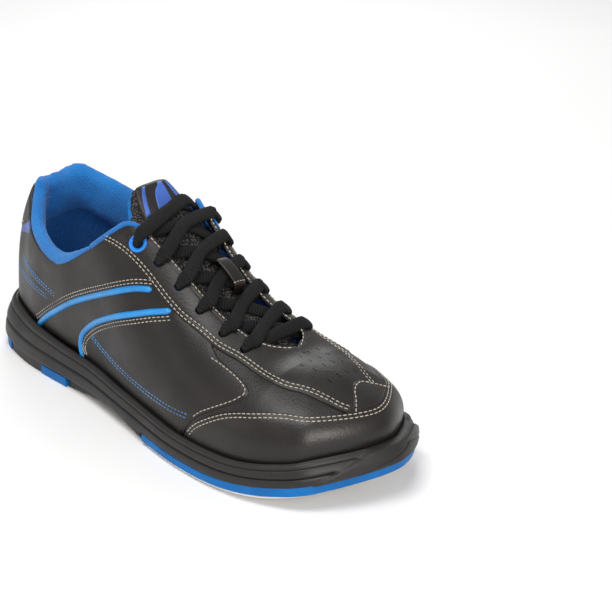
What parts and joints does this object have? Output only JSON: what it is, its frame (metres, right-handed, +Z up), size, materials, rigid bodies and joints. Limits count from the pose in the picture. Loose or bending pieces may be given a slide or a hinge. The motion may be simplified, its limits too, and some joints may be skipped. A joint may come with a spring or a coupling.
{
  "type": "bowling shoe",
  "caption": "Lace-up right bowling shoe: leather panels with arc piping, padded collar and tongue, cup sole with slide pad and rubber heel.",
  "frame": {"origin": "middle of the bounding box, on the floor under the sole", "axes": "+X from heel to toe, +Y to the inner side of the foot, +Z up"},
  "size_m": [0.2989, 0.1058, 0.1233],
  "materials": {
    "sole_rubber": "satin moulded rubber",
    "sole_blue": "smooth",
    "slide_pad": "napped microfibre",
    "midsole_foam": "foam",
    "shank_steel": "brushed",
    "board": "pressed fibre",
    "sockliner": "brushed fabric on foam",
    "lining": "knitted",
    "stiffener": "matte",
    "upper_leather": "fine grain, semi gloss",
    "piping": "semi gloss",
    "ring": "gloss",
    "collar_fabric": "brushed knit",
    "tongue_mesh": "leather top with mesh sides",
    "tongue_lining": "brushed knit",
    "emblem": "welded film",
    "lace": "flat woven",
    "aglet": "gloss"
  },
  "bodies": {
    "shoe": {"outsole": "sole_rubber", "forefoot_plate": "sole_blue", "slide_pad": "slide_pad", "heel_pad": "sole_rubber", "heel_lugs": "sole_blue", "shank_panel_lateral": "sole_rubber", "shank_panel_medial": "sole_rubber", "shank_stripe": "sole_blue", "midsole": "midsole_foam", "steel_shank": "shank_steel", "insole_board": "board", "sockliner": "sockliner", "shell_lining": "lining", "heel_counter": "stiffener", "toe_puff": "stiffener", "mudguard": "upper_leather", "toe_patch": "upper_leather", "vamp": "upper_leather", "vamp_side_lateral": "upper_leather", "vamp_side_medial": "upper_leather", "side_panel_lateral": "upper_leather", "side_panel_medial": "upper_leather", "arc_band_lateral": "upper_leather", "arc_band_medial": "upper_leather", "lower_piping_lateral": "piping", "lower_piping_medial": "piping", "upper_piping_lateral": "piping", "upper_piping_medial": "piping", "quarter_lateral": "upper_leather", "quarter_medial": "upper_leather", "heel_stripe": "piping", "heel_tab": "upper_leather", "eyestay_lateral": "upper_leather", "eyestay_medial": "upper_leather", "eyelet_rings": "ring", "collar_roll": "collar_fabric", "collar_padding": "collar_fabric", "tongue_anchor": "upper_leather", "lace": "lace", "aglets": "aglet"},
    "tongue_pad": {"tongue": "tongue_mesh", "tongue_lining": "tongue_lining", "tongue_emblem": "emblem", "lace_keeper": "upper_leather"}
  },
  "joints": [
    {"name": "tongue_tilt", "type": "hinge", "parent": "shoe", "child": "tongue_pad", "pos_m": [0.0755, 0, 0.058], "axis": [0, -1, 0], "range_deg": [0, 2.5], "stiffness_Nm_per_rad": 0.1, "springref_deg": -17.19}
  ]
}
